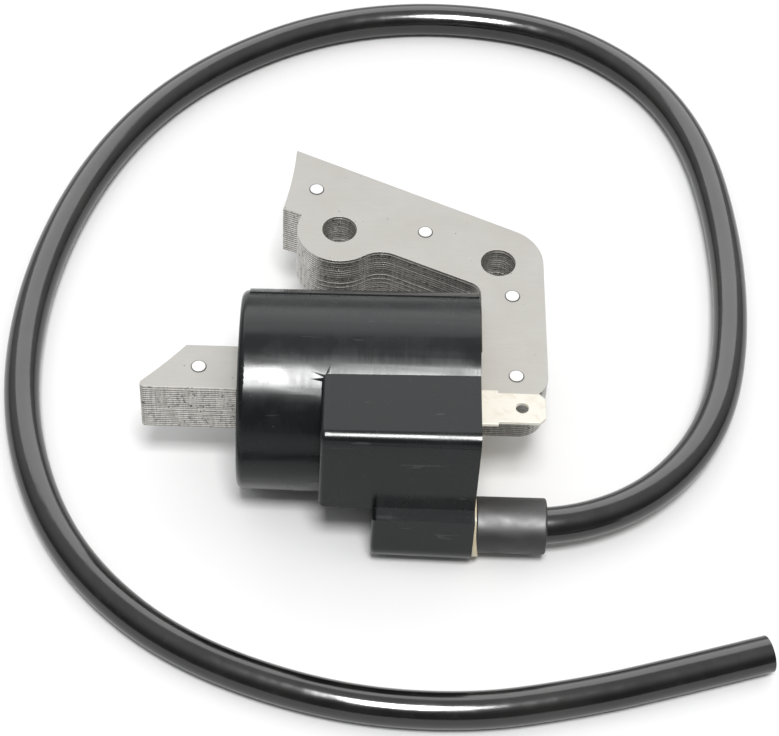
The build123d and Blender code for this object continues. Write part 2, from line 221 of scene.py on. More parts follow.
def hand_over(piece: bpy.types.Object, slot: str, *nodes: str) -> bpy.types.Object:
    """Fixes a finished piece to the frame in place of the nodes it stands for.

    Args:
        piece: The finished piece.
        slot: The material slot of its finish; not used.
        *nodes: The frame nodes that it replaces.

    Returns:
        The same piece.
    """
    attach(piece, BODY)
    if nodes:
        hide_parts(*nodes)
    LOG.info("%s stands for %s", piece.name, ", ".join(nodes) or "nothing")
    return piece


# Finishes --------------------------------------------------------------------------------


class Shader:
    """A material under construction: one principled shader and the nodes that feed it."""

    def __init__(self, name: str, **sockets: object) -> None:
        """Starts a material.

        Args:
            name: The material's name.
            **sockets: Values for the shader's own sockets, by name with spaces as underscores.
        """
        self.material = bpy.data.materials.new(name)
        self.material.use_nodes = True
        self.tree = self.material.node_tree
        self.bsdf = next(n for n in self.tree.nodes if n.type == "BSDF_PRINCIPLED")
        self.place = self.add("ShaderNodeTexCoord").outputs["Object"]
        for socket, value in sockets.items():
            self.bsdf.inputs[socket.replace("_", " ")].default_value = value

    def add(self, kind: str, **settings: object) -> bpy.types.Node:
        """Adds a node of a kind and sets its properties."""
        node = self.tree.nodes.new(kind)
        for key, value in settings.items():
            setattr(node, key, value)
        return node

    def join(self, source: bpy.types.NodeSocket, target: bpy.types.NodeSocket) -> None:
        """Links one node's output to another's input."""
        self.tree.links.new(source, target)

    def stretched(self, stretch: Sequence[float]) -> bpy.types.NodeSocket:
        """Returns object coordinates scaled by a number for each axis."""
        mapping = self.add("ShaderNodeMapping")
        mapping.inputs["Scale"].default_value = stretch
        self.join(self.place, mapping.inputs["Vector"])
        return mapping.outputs["Vector"]

    def noise(
        self,
        size: float,
        detail: float = 3.0,
        stretch: Sequence[float] = (1.0, 1.0, 1.0),
        rough: float = 0.55,
        warp: float = 0.0,
    ) -> bpy.types.NodeSocket:
        """Adds a noise.

        Args:
            size: The size of its blotches in metres.
            detail: Octaves of finer noise.
            stretch: How much denser the pattern is along each axis.
            rough: How strong the finer octaves are.
            warp: How far the pattern is twisted.

        Returns:
            Its value socket, from 0 to 1.
        """
        node = self.add("ShaderNodeTexNoise")
        node.inputs["Scale"].default_value = 1 / size
        node.inputs["Detail"].default_value = detail
        node.inputs["Roughness"].default_value = rough
        node.inputs["Distortion"].default_value = warp
        self.join(self.stretched(stretch), node.inputs["Vector"])
        return node.outputs["Fac"]

    def specks(self, spacing: float, reach: float) -> bpy.types.NodeSocket:
        """Adds sparse round specks.

        Args:
            spacing: The distance between cells of the pattern in metres.
            reach: The speck's radius as a share of that distance.

        Returns:
            A socket that is 1 in a speck and 0 between them.
        """
        cells = self.add("ShaderNodeTexVoronoi")
        cells.inputs["Scale"].default_value = 1 / spacing
        cells.inputs["Randomness"].default_value = 1.0
        self.join(self.place, cells.inputs["Vector"])
        return self.band(cells.outputs["Distance"], reach, 0.45 * reach, 0.0, 1.0)

    def waves(self, axis: str, pitch: float, trough: float = 0.0) -> bpy.types.NodeSocket:
        """Adds even ridges along an axis.

        Args:
            axis: X, Y or Z.
            pitch: The distance between ridges in metres.
            trough: The place of one of the troughs along the axis.

        Returns:
            Its value socket, 0 in a trough and 1 on a ridge.
        """
        ridges = self.add("ShaderNodeTexWave", wave_type="BANDS", bands_direction=axis)
        ridges.inputs["Scale"].default_value = math.tau / 20 / pitch
        ridges.inputs["Phase Offset"].default_value = -math.pi / 2 - math.tau * trough / pitch
        ridges.inputs["Detail"].default_value = 0.0
        self.join(self.place, ridges.inputs["Vector"])
        return ridges.outputs["Fac"]

    def band(
        self,
        value: bpy.types.NodeSocket,
        low: float,
        high: float,
        to_low: float = 0.0,
        to_high: float = 1.0,
    ) -> bpy.types.NodeSocket:
        """Returns a value remapped from one range to another and clamped."""
        ramp = self.add("ShaderNodeMapRange", clamp=True)
        ramp.inputs["From Min"].default_value = low
        ramp.inputs["From Max"].default_value = high
        ramp.inputs["To Min"].default_value = to_low
        ramp.inputs["To Max"].default_value = to_high
        self.join(value, ramp.inputs["Value"])
        return ramp.outputs["Result"]

    def mix(
        self,
        share: bpy.types.NodeSocket,
        first: Colour | bpy.types.NodeSocket,
        second: Colour | bpy.types.NodeSocket,
    ) -> bpy.types.NodeSocket:
        """Returns a colour that goes from the first to the second as the share rises."""
        blend = self.add("ShaderNodeMix", data_type="RGBA")
        self.join(share, blend.inputs["Factor"])
        sockets = [s for s in blend.inputs if s.type == "RGBA"]
        for socket, value in zip(sockets, (first, second)):
            if isinstance(value, tuple):
                socket.default_value = value
            else:
                self.join(value, socket)
        return next(s for s in blend.outputs if s.type == "RGBA")

    def product(
        self, first: bpy.types.NodeSocket, second: bpy.types.NodeSocket
    ) -> bpy.types.NodeSocket:
        """Returns one value times another."""
        times = self.add("ShaderNodeMath", operation="MULTIPLY")
        self.join(first, times.inputs[0])
        self.join(second, times.inputs[1])
        return times.outputs["Value"]

    def colour(self, source: bpy.types.NodeSocket) -> None:
        """Feeds the base colour."""
        self.join(source, self.bsdf.inputs["Base Color"])

    def roughness(self, source: bpy.types.NodeSocket) -> None:
        """Feeds the roughness."""
        self.join(source, self.bsdf.inputs["Roughness"])

    def relief(self, *layers: tuple[bpy.types.NodeSocket, float]) -> None:
        """Adds bump, each layer a height socket and its full height in metres."""
        normal = None
        for height, depth in layers:
            bump = self.add("ShaderNodeBump")
            bump.inputs["Strength"].default_value = 1.0
            bump.inputs["Distance"].default_value = depth
            self.join(height, bump.inputs["Height"])
            if normal is not None:
                self.join(normal, bump.inputs["Normal"])
            normal = bump.outputs["Normal"]
        self.join(normal, self.bsdf.inputs["Normal"])


@dataclass(frozen=True)
class RolledSteel:
    """The flat face of a core sheet: satin rolled steel with faint stains and pits."""

    name: str = "Rolled core steel"
    light: Colour = (0.62, 0.605, 0.57, 1.0)
    dull: Colour = (0.59, 0.572, 0.535, 1.0)
    pit: Colour = (0.16, 0.14, 0.12, 1.0)

    def make(self) -> bpy.types.Material:
        """Returns the material."""
        steel = Shader(self.name, Metallic=0.78)
        cloud = steel.band(steel.noise(9 * MM, 4.0, warp=0.4), 0.35, 0.68)
        grain = steel.band(steel.noise(0.5 * MM, 2.0, (0.12, 1.0, 1.0)), 0.3, 0.7)
        base = steel.mix(cloud, self.light, self.dull)
        streaked = steel.mix(steel.band(grain, 0.0, 1.0, 0.0, 0.14), base, grey(0.46, 0.03))
        pits = steel.product(
            steel.specks(2.2 * MM, 0.075), steel.band(steel.noise(6 * MM), 0.46, 0.56)
        )
        steel.colour(steel.mix(pits, streaked, self.pit))
        steel.roughness(steel.band(steel.noise(3 * MM, 3.0), 0.25, 0.75, 0.46, 0.56))
        steel.relief((grain, 0.004 * MM), (steel.noise(0.25 * MM, 2.0), 0.006 * MM))
        return steel.material


@dataclass(frozen=True)
class ShearedSteel:
    """The cut edges of the sheets: shear marks up and down, specks, and painted shade in the seams
    between.
    """

    pitch: float
    seam: float
    name: str = "Sheared core edge"
    bright: Colour = (0.74, 0.72, 0.68, 1.0)
    dull: Colour = (0.50, 0.485, 0.455, 1.0)
    # The dark of the pits, also used as the painted shade in the seams between sheets.
    pit_and_seam_shade: Colour = (0.045, 0.042, 0.04, 1.0)

    def make(self) -> bpy.types.Material:
        """Returns the material."""
        steel = Shader(self.name, Metallic=0.85)
        shear = steel.noise(0.5 * MM, 4.0, (1.0, 1.0, 0.10), 0.7)
        streaks = steel.mix(steel.band(shear, 0.40, 0.60), self.dull, self.bright)
        pits = steel.band(steel.noise(0.6 * MM, 3.0, (1.0, 1.0, 0.9)), 0.60, 0.68, 0.0, 0.85)
        pitted = steel.mix(pits, streaks, self.pit_and_seam_shade)
        # Painted shade: dark lines along the seams between sheets, on top of the bevelled grooves.
        seam_shade_lines = steel.waves("Z", self.pitch, self.seam)
        steel.colour(steel.mix(steel.band(seam_shade_lines, 0.34, 0.04, 0.0, 0.95), pitted, self.pit_and_seam_shade))
        steel.roughness(steel.band(shear, 0.3, 0.7, 0.44, 0.28))
        steel.relief((shear, 0.02 * MM), (steel.noise(0.3 * MM, 3.0), 0.012 * MM))
        return steel.material


@dataclass(frozen=True)
class BrightSteelRivetWithPaintedGlint:
    """Upset end of a bright steel rivet, with fine turning and hammer marks; its colour is raised
    to near-white as a painted highlight.
    """

    name: str = "Bright rivet steel with painted glint"
    # Painted highlight: the near-white base with little metal stands for the glint of the flat
    # rivet ends.
    base: Colour = (0.94, 0.94, 0.93, 1.0)

    def make(self) -> bpy.types.Material:
        """Returns the material."""
        steel = Shader(self.name, Metallic=0.25)
        worn = steel.band(steel.noise(0.7 * MM, 3.0), 0.35, 0.7)
        steel.colour(steel.mix(worn, self.base, grey(0.84, 0.01)))
        steel.roughness(steel.band(steel.noise(0.6 * MM), 0.3, 0.7, 0.30, 0.42))
        steel.relief((steel.noise(1.2 * MM, 1.0), 0.02 * MM))
        return steel.material


@dataclass(frozen=True)
class MouldedPlastic:
    """Black case plastic: glossy from the mould, with scuffs, fine scratches and dust."""

    name: str = "Black moulded plastic"
    base: Colour = (0.0068, 0.0080, 0.0085, 1.0)
    worn: Colour = (0.014, 0.016, 0.017, 1.0)
    dust: Colour = (0.30, 0.29, 0.27, 1.0)

    def make(self) -> bpy.types.Material:
        """Returns the material."""
        plastic = Shader(self.name, IOR=1.5, Specular_IOR_Level=0.22)
        haze = plastic.band(plastic.noise(9 * MM, 4.0, warp=0.4), 0.42, 0.75)
        drawn = plastic.noise(0.8 * MM, 3.0, (1.0, 0.07, 0.07), 0.6)
        strokes = plastic.noise(1.3 * MM, 1.0, (0.10, 1.0, 0.6), warp=1.4)
        scratch = plastic.band(strokes, 0.735, 0.745)
        motes = plastic.product(
            plastic.specks(1.3 * MM, 0.05), plastic.band(plastic.noise(6 * MM), 0.50, 0.60)
        )
        base = plastic.mix(plastic.band(haze, 0.0, 1.0, 0.0, 0.6), self.base, self.worn)
        scored = plastic.mix(plastic.band(scratch, 0.0, 1.0, 0.0, 0.35), base, grey(0.08))
        plastic.colour(plastic.mix(motes, scored, self.dust))
        plastic.roughness(plastic.band(plastic.product(haze, drawn), 0.0, 0.5, 0.22, 0.34))
        plastic.relief(
            (plastic.noise(12 * MM, 1.0, (0.5, 1.0, 1.0)), 0.05 * MM),
            (drawn, 0.016 * MM),
            (plastic.noise(0.22 * MM, 2.0), 0.0015 * MM),
        )
        return plastic.material


@dataclass(frozen=True)
class PottingResin:
    """Cream casting resin, with trapped bubbles and a dull cured skin."""

    name: str = "Cream potting resin"
    base: Colour = (0.74, 0.66, 0.48, 1.0)
    stained: Colour = (0.60, 0.50, 0.33, 1.0)

    def make(self) -> bpy.types.Material:
        """Returns the material."""
        resin = Shader(self.name, Subsurface_Weight=0.12, Subsurface_Scale=0.6 * MM, IOR=1.5)
        cloud = resin.band(resin.noise(6 * MM, 4.0, warp=0.5), 0.35, 0.75)
        bubbles = resin.specks(1.7 * MM, 0.16)
        body = resin.mix(cloud, self.base, self.stained)
        resin.colour(resin.mix(resin.band(bubbles, 0.0, 1.0, 0.0, 0.35), body, grey(0.26, 0.2)))
        resin.roughness(resin.band(resin.noise(2 * MM), 0.3, 0.7, 0.30, 0.48))
        resin.relief(
            (resin.noise(4 * MM, 2.0), 0.10 * MM),
            (bubbles, -0.06 * MM),
            (resin.noise(0.4 * MM), 0.01 * MM),
        )
        return resin.material


class RubberGrade(Enum):
    """The rubbers of the lead: its skin, as base level and roughness, and its moulded sleeve."""

    LEAD = ("Lead rubber", 0.0065, 0.12, 0.20)
    SLEEVE = ("Sleeve rubber", 0.0080, 0.46, 0.62)


@dataclass(frozen=True)
class BlackRubber:
    """Black rubber with a talc bloom, fine scuffs and the odd fleck of dust."""

    grade: RubberGrade

    def make(self) -> bpy.types.Material:
        """Returns the material."""
        name, level, gloss, matte = self.grade.value
        rubber = Shader(name, IOR=1.55, Specular_IOR_Level=0.55)
        bloom = rubber.band(rubber.noise(12 * MM, 4.0, warp=0.3), 0.45, 0.75)
        scuff = rubber.band(rubber.noise(1.4 * MM, 4.0, warp=1.0), 0.60, 0.72, 0.0, 0.5)
        motes = rubber.product(
            rubber.specks(1.9 * MM, 0.04), rubber.band(rubber.noise(9 * MM), 0.50, 0.60)
        )
        bloomed = rubber.mix(bloom, grey(level), grey(2.4 * level, 0.03))
        scuffed = rubber.mix(scuff, bloomed, grey(4.0 * level))
        rubber.colour(rubber.mix(motes, scuffed, grey(0.30, 0.03)))
        rubber.roughness(rubber.band(rubber.noise(4 * MM, 3.0), 0.3, 0.7, gloss, matte))
        rubber.relief((rubber.noise(5 * MM, 2.0), 0.03 * MM), (rubber.noise(0.3 * MM), 0.002 * MM))
        return rubber.material


class MetalGrade(Enum):
    """The small metals, as colour, tarnish and roughness."""

    TINNED = ("Tin plate", (0.86, 0.83, 0.75, 1.0), (0.74, 0.68, 0.57, 1.0), 0.45)
    COPPER = ("Bare copper strand", (0.80, 0.42, 0.26, 1.0), (0.40, 0.17, 0.09, 1.0), 0.34)
    ENAMELLED = ("Enamelled copper wire", (0.52, 0.17, 0.06, 1.0), (0.30, 0.08, 0.03, 1.0), 0.25)
    BRASS = ("Machined brass", (0.80, 0.62, 0.30, 1.0), (0.50, 0.36, 0.15, 1.0), 0.28)


@dataclass(frozen=True)
class SmallMetal:
    """A plated, bare or enamelled metal with tarnish in blotches."""

    grade: MetalGrade

    def make(self) -> bpy.types.Material:
        """Returns the material."""
        name, clean, tarnish, rough = self.grade.value
        metal = Shader(name, Metallic=0.35 if self.grade is MetalGrade.TINNED else 0.95)
        cloud = metal.band(metal.noise(1.8 * MM, 4.0, warp=0.5), 0.50, 0.82)
        metal.colour(metal.mix(cloud, clean, tarnish))
        metal.roughness(metal.band(metal.noise(0.8 * MM, 3.0), 0.3, 0.7, 0.8 * rough, 1.25 * rough))
        metal.relief((metal.noise(0.9 * MM, 3.0), 0.02 * MM), (metal.noise(0.2 * MM), 0.003 * MM))
        return metal.material


@dataclass(frozen=True)
class WoundWire:
    """Layers of enamelled wire: ridges a wire's width apart along the coil, with painted shade in
    the gaps between turns.
    """

    name: str
    wire: float
    base: Colour = (0.50, 0.17, 0.07, 1.0)

    def make(self) -> bpy.types.Material:
        """Returns the material."""
        winding = Shader(self.name, Metallic=0.8, Coat_Weight=0.4, Coat_Roughness=0.2)
        turns = winding.waves("X", self.wire)
        shade = winding.band(winding.noise(3 * MM, 3.0), 0.3, 0.75)
        toned = winding.mix(shade, self.base, (0.66, 0.26, 0.11, 1.0))
        # Painted shade: the gaps between turns are darkened towards a dark brown.
        gap_shade = winding.band(turns, 0.4, 0.0, 0.0, 0.7)
        winding.colour(winding.mix(gap_shade, toned, grey(0.05, 0.3)))
        winding.roughness(winding.band(turns, 0.0, 1.0, 0.5, 0.26))
        winding.relief((turns, 0.4 * self.wire))
        return winding.material


class MouldingGrade(Enum):
    """The plain small parts, as colour, mottling and roughness."""

    NYLON = ("Natural nylon", (0.70, 0.66, 0.55, 1.0), (0.62, 0.57, 0.46, 1.0), 0.5)
    FILM = ("Varnished film", (0.66, 0.50, 0.20, 1.0), (0.52, 0.36, 0.12, 1.0), 0.3)
    BOARD = ("Board laminate", (0.05, 0.17, 0.07, 1.0), (0.08, 0.22, 0.09, 1.0), 0.35)
    DIPPED = ("Dipped capacitor", (0.34, 0.09, 0.03, 1.0), (0.44, 0.14, 0.05, 1.0), 0.2)
    EPOXY = ("Black component epoxy", grey(0.015), grey(0.03), 0.5)
    LACQUER = ("Resistor lacquer", (0.62, 0.48, 0.28, 1.0), (0.5, 0.36, 0.2, 1.0), 0.3)
    # Painted shade: a dark ring for the shade round each rivet's rim.
    RIVET_RIM = ("Rivet rim painted shade", grey(0.05), grey(0.16), 0.5)


@dataclass(frozen=True)
class PlainMoulding:
    """A small moulded, dipped or pressed part: one colour with mottling and a fine skin."""

    grade: MouldingGrade
    grain: float = 0.5 * MM

    def make(self) -> bpy.types.Material:
        """Returns the material."""
        name, base, mottled, rough = self.grade.value
        moulding = Shader(name, IOR=1.5)
        cloud = moulding.band(moulding.noise(2.2 * MM, 4.0), 0.35, 0.7)
        moulding.colour(moulding.mix(cloud, base, mottled))
        moulding.roughness(
            moulding.band(moulding.noise(self.grain), 0.3, 0.7, 0.85 * rough, 1.2 * rough)
        )
        moulding.relief((moulding.noise(self.grain, 3.0), 0.012 * MM))
        return moulding.material


# Sub-assemblies --------------------------------------------------------------------------


@dataclass
class CoreStack:
    """The riveted stack of punched sheets."""

    sheets: int = 20
    rivets: Sequence[tuple[float, float]] = (
        (-6.7 * MM, 31.6 * MM),
        (15.1 * MM, 21.0 * MM),
        (32.0 * MM, 5.0 * MM),
        (32.3 * MM, -14.9 * MM),
        (-27.6 * MM, -14.9 * MM),
    )
    rivet_radius: float = 1.45 * MM
    burr: float = 0.10 * MM
    slip: float = 0.02 * MM
    rim_width: float = 0.16 * MM
    crown_width: float = 0.30 * MM
    crown_rise: float = 0.05 * MM
    dish_width: float = 0.42 * MM
    dish_depth: float = 0.12 * MM
    floor_width: float = 0.25 * MM
    rivet_round: float = 0.06 * MM
    face: bpy.types.Material = field(init=False)
    edge: bpy.types.Material = field(init=False)

    def build(self) -> None:
        """Makes every sheet and rivet and fixes them to the frame."""
        self.face = RolledSteel().make()
        low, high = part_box("lamination_01")
        self.edge = ShearedSteel(high.z - low.z, low.z).make()
        self.lay_sheets(self.punched_sheet())
        self.set_rivets()

    def punched_sheet(self) -> bpy.types.Object:
        """Makes the lowest sheet, with rounded punched edges and its two finishes.

        Returns:
            The sheet, where the frame has the lowest one.
        """
        sheet = merged_copy("lamination_01", "core_sheet_01")
        with editing(sheet, Pick.EDGES) as mesh:
            select(sheet, mesh, self.is_rim, Pick.EDGES)
            bpy.ops.mesh.bevel(offset=self.burr, segments=2, profile=0.6, clamp_overlap=True)
        sheet.data.materials.append(self.face)
        sheet.data.materials.append(self.edge)
        for polygon in sheet.data.polygons:
            polygon.material_index = 0 if abs(polygon.normal.z) > 0.3 else 1
        smooth(sheet, 40)
        return sheet

    @staticmethod
    def is_rim(edge: bmesh.types.BMEdge) -> bool:
        """Says whether an edge lies between a flat face and a cut side."""
        if len(edge.link_faces) != 2:
            return False
        first, second = (abs(face.normal.z) for face in edge.link_faces)
        return (first > 0.9) != (second > 0.9)

    def lay_sheets(self, sheet: bpy.types.Object) -> None:
        """Stacks copies of a sheet, each slipped a little sideways.

        Args:
            sheet: The lowest sheet.
        """
        draw = random.Random(11)
        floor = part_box("lamination_01")[0].z
        for number in range(2, self.sheets + 1):
            node = f"lamination_{number:02d}"
            slipped = Vector((draw.uniform(-1, 1), draw.uniform(-1, 1), 0.0)) * self.slip
            rise = Vector((0.0, 0.0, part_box(node)[0].z - floor))
            twin = copied(sheet, f"core_sheet_{number:02d}", slipped + rise)
            hand_over(twin, "core_steel", node)
        hand_over(sheet, "core_steel", "lamination_01")

    def rivet(self) -> bpy.types.Object:
        """Models one rivet at the first place, with both ends upset into shallow dishes.

        Returns:
            The rivet.
        """
        low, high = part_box("core_rivets")
        x, y = self.rivets[0]
        deselect_all()
        bpy.ops.mesh.primitive_cylinder_add(
            vertices=40,
            radius=self.rivet_radius,
            depth=high.z - low.z,
            location=(x, y, (low.z + high.z) / 2),
        )
        rivet = bpy.context.object
        settle(rivet)
        with editing(rivet) as mesh:
            select(rivet, mesh, lambda face: abs(face.normal.z) > 0.9)
            bpy.ops.mesh.inset(thickness=self.rim_width, depth=0.0)
            bpy.ops.mesh.inset(thickness=self.crown_width, depth=self.crown_rise)
            bpy.ops.mesh.inset(thickness=self.dish_width, depth=-self.dish_depth)
            bpy.ops.mesh.inset(thickness=self.floor_width, depth=-self.crown_rise)
        soften_edges(rivet, self.rivet_round, 28)
        smooth(rivet, 50)
        return rivet

    def set_rivets(self) -> None:
        """Sets a copy of the rivet at each of its places, its rim in painted shade."""
        steel = BrightSteelRivetWithPaintedGlint().make()
        first = self.rivet()
        first.name = "rivet_1"
        first.data.materials.append(steel)
        first.data.materials.append(PlainMoulding(MouldingGrade.RIVET_RIM).make())
        centre = Vector(self.rivets[0])
        # Painted shade: the faces round the rim take the dark rim material.
        for polygon in first.data.polygons:
            outside = (polygon.center.xy - centre).length > self.rivet_radius - self.rim_width
            polygon.material_index = int(outside)
        start = Vector((*self.rivets[0], 0.0))
        for number, place in enumerate(self.rivets[1:], start=2):
            twin = copied(first, f"rivet_{number}", Vector((*place, 0.0)) - start)
            hand_over(twin, "rivet_steel", "core_rivets")
        hand_over(first, "rivet_steel", "core_rivets")


@dataclass
class CoilCase:
    """The moulded case, the resin that fills it, and the windings and module within."""

    edge_round: float = 0.25 * MM
    boss: tuple[float, float, float] = (24.9 * MM, -35.6 * MM, 6.5 * MM)
    drum: tuple[float, float, float] = (24.8 * MM, -14.9 * MM, 19.4 * MM)
    draft: float = math.radians(0.7)
    sharp: float = math.radians(40)
    sections: int = 5
    primary_wire: float = 0.45 * MM
    secondary_wire: float = 0.12 * MM
    lip_radius: float = 6.1 * MM
    lip_length: float = 1.7 * MM
    lip_lean: float = math.radians(6.5)
    lip_round: float = 0.25 * MM
    on_surface: float = 0.03 * MM

    def build(self) -> None:
        """Makes the shell and the resin, and dresses what they hold."""
        self.shell()
        self.resin()
        self.inner_parts()

    def shell(self) -> None:
        """Rounds the case's moulded edges and dresses it."""
        shell = merged_copy("coil_case", "case_shell")
        with editing(shell, Pick.EDGES) as mesh:
            select(shell, mesh, self.is_outer_corner, Pick.EDGES)
            bpy.ops.mesh.bevel(offset=self.edge_round, segments=3, clamp_overlap=True)
            select(shell, mesh, self.is_drum_crease, Pick.EDGES)
            bpy.ops.mesh.mark_sharp()
        shell.data.materials.append(MouldedPlastic().make())
        smooth(shell, 22)
        hand_over(shell, "case_plastic", "coil_case")

    def is_outer_corner(self, edge: bmesh.types.BMEdge) -> bool:
        """Says whether an edge is a sharp outward corner, not a crease between two walls."""
        if len(edge.link_faces) != 2 or not edge.is_convex:
            return False
        return edge.calc_face_angle() > self.sharp

    def on_drum(self, face: bmesh.types.BMFace) -> bool:
        """Says whether every corner of a face lies on the drum's outside."""
        x, y, z = self.drum
        for corner in face.verts:
            radius = z - (x - corner.co.x) * math.tan(self.draft)
            if abs(math.hypot(corner.co.y - y, corner.co.z - z) - radius) > self.on_surface:
                return False
        return True

    def is_drum_crease(self, edge: bmesh.types.BMEdge) -> bool:
        """Says whether an edge divides the drum's outside from another wall."""
        if len(edge.link_faces) != 2:
            return False
        first, second = (self.on_drum(face) for face in edge.link_faces)
        return first != second

    def resin(self) -> None:
        """Dresses the resin that fills the case and adds its lip."""
        resin = merged_copy("potting_resin", "resin_fill")
        resin.data.materials.append(PottingResin().make())
        smooth(resin, 38)
        hand_over(resin, "potting_resin", "potting_resin")
        self.resin_lip(resin.data.materials[0])

    def resin_lip(self, finish: bpy.types.Material) -> None:
        """Models the resin that has crept out round the sleeve, thickest underneath.

        Args:
            finish: The resin's material.
        """
        x, y, z = self.boss
        deselect_all()
        bpy.ops.mesh.primitive_cylinder_add(
            vertices=64,
            radius=self.lip_radius,
            depth=self.lip_length,
            location=(x, y, z),
            rotation=(0.0, math.pi / 2, 0.0),
        )
        lip = bpy.context.object
        lip.name = "resin_lip"
        settle(lip)
        with editing(lip) as mesh:
            select(lip, mesh, lambda face: face.normal.x > 0.9)
            bpy.ops.transform.rotate(
                value=self.lip_lean,
                orient_axis="Y",
                orient_type="GLOBAL",
                center_override=(x + self.lip_length / 2, y, z),
            )
        soften_edges(lip, self.lip_round, 40)
        lip.data.materials.append(finish)
        smooth(lip, 40)
        hand_over(lip, "potting_resin", "potting_resin")

    def inner_parts(self) -> None:
        """Gives every sealed piece its own finish."""
        nylon = PlainMoulding(MouldingGrade.NYLON)
        epoxy = PlainMoulding(MouldingGrade.EPOXY)
        copper = SmallMetal(MetalGrade.ENAMELLED)
        finishes = {
            "primary_bobbin": nylon,
            "secondary_bobbin": nylon,
            "insulation_wrap": PlainMoulding(MouldingGrade.FILM),
            "trigger_board": PlainMoulding(MouldingGrade.BOARD),
            "storage_capacitor": PlainMoulding(MouldingGrade.DIPPED),
            "switching_transistor": epoxy,
            "steering_diode": epoxy,
            "bias_resistor": PlainMoulding(MouldingGrade.LACQUER),
            "primary_leadout_wire": copper,
            "ground_wire": copper,
            "ht_leadout_wire": copper,
            "module_wire": copper,
            "ground_strap": SmallMetal(MetalGrade.TINNED),
            "ht_contact_spike": SmallMetal(MetalGrade.BRASS),
            "primary_winding": WoundWire("Primary turns", self.primary_wire),
        }
        fine = WoundWire("Secondary turns", self.secondary_wire)
        for number in range(1, self.sections + 1):
            finishes[f"secondary_winding_{number}"] = fine
        made: dict[object, bpy.types.Material] = {}
        for node, finish in finishes.items():
            if finish not in made:
                made[finish] = finish.make()
            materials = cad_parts[node].data.materials
            materials.clear()
            materials.append(made[finish])
            LOG.info("%s is dressed in %s", node, made[finish].name)


@dataclass
class Terminal:
    """The flat primary tab."""

    edge_round: float = 0.12 * MM

    def build(self) -> None:
        """Rounds the tab's blanked edges and dresses it."""
        tab = merged_copy("primary_tab", "spade_tab")
        soften_edges(tab, self.edge_round, 40)
        tab.data.materials.append(SmallMetal(MetalGrade.TINNED).make())
        smooth(tab, 40)
        hand_over(tab, "tinned_metal", "primary_tab")


